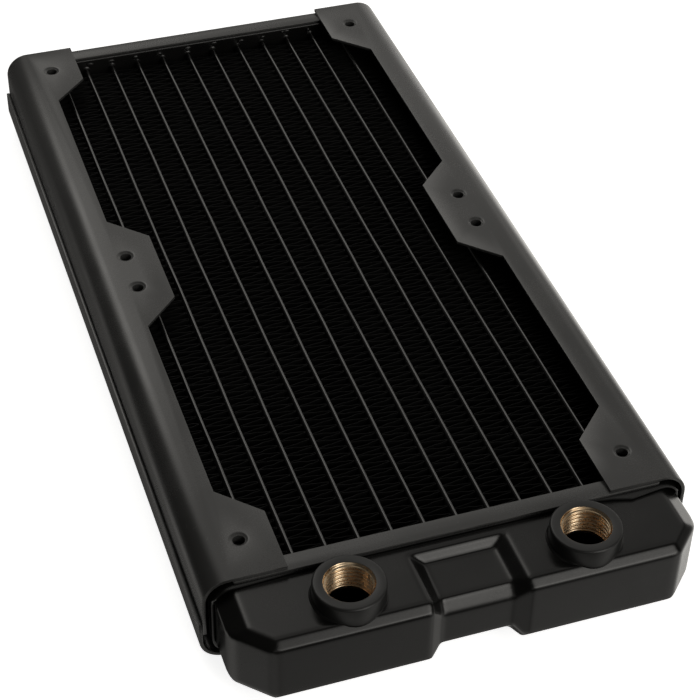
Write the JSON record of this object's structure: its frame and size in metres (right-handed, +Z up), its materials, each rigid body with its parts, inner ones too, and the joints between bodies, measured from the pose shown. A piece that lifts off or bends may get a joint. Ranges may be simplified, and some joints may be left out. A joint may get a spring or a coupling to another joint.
{
  "type": "liquid cooling radiator",
  "caption": "Slim liquid cooling radiator for two fans: flat tube and folded fin core between a deep near tank with threaded ports and a shallow return tank, clasped by side channels.",
  "frame": {"origin": "centre of the bounding box, on the underside of the channels", "axes": "+Y along the length from the port end to the far end, +X across to the right, +Z up through the ports"},
  "size_m": [0.1334, 0.274, 0.0296],
  "materials": {
    "powder_coat": "satin black powder coat on folded sheet, fine orange peel",
    "tank_paint": "satin black paint on pressed brass",
    "tube_paint": "thin worn black paint on brass tubes, lighter along the noses",
    "core_paint": "matt black paint on thin folded strip",
    "port_brass": "bright turned brass threads, painted outside",
    "bare_brass": "plain sheet brass"
  },
  "bodies": {
    "root": {"channel_left_upper": "powder_coat", "channel_left_lower": "powder_coat", "channel_right_upper": "powder_coat", "channel_right_lower": "powder_coat", "end_bar_near_top": "powder_coat", "end_bar_near_bottom": "powder_coat", "end_bar_far_top": "powder_coat", "end_bar_far_bottom": "powder_coat", "header_near": "tank_paint", "header_far": "tank_paint", "tank_near": "tank_paint", "tank_far": "tank_paint", "flow_divider": "bare_brass", "port_collar_left": "port_brass", "port_collar_right": "port_brass", "core_side_left": "core_paint", "core_side_right": "core_paint", "tube_01": "tube_paint", "tube_02": "tube_paint", "tube_03": "tube_paint", "tube_04": "tube_paint", "tube_05": "tube_paint", "tube_06": "tube_paint", "tube_07": "tube_paint", "tube_08": "tube_paint", "tube_09": "tube_paint", "tube_10": "tube_paint", "tube_11": "tube_paint", "tube_12": "tube_paint", "fin_strip_01": "core_paint", "fin_strip_02": "core_paint", "fin_strip_03": "core_paint", "fin_strip_04": "core_paint", "fin_strip_05": "core_paint", "fin_strip_06": "core_paint", "fin_strip_07": "core_paint", "fin_strip_08": "core_paint", "fin_strip_09": "core_paint", "fin_strip_10": "core_paint", "fin_strip_11": "core_paint", "fin_strip_12": "core_paint", "fin_strip_13": "core_paint"}
  },
  "joints": []
}
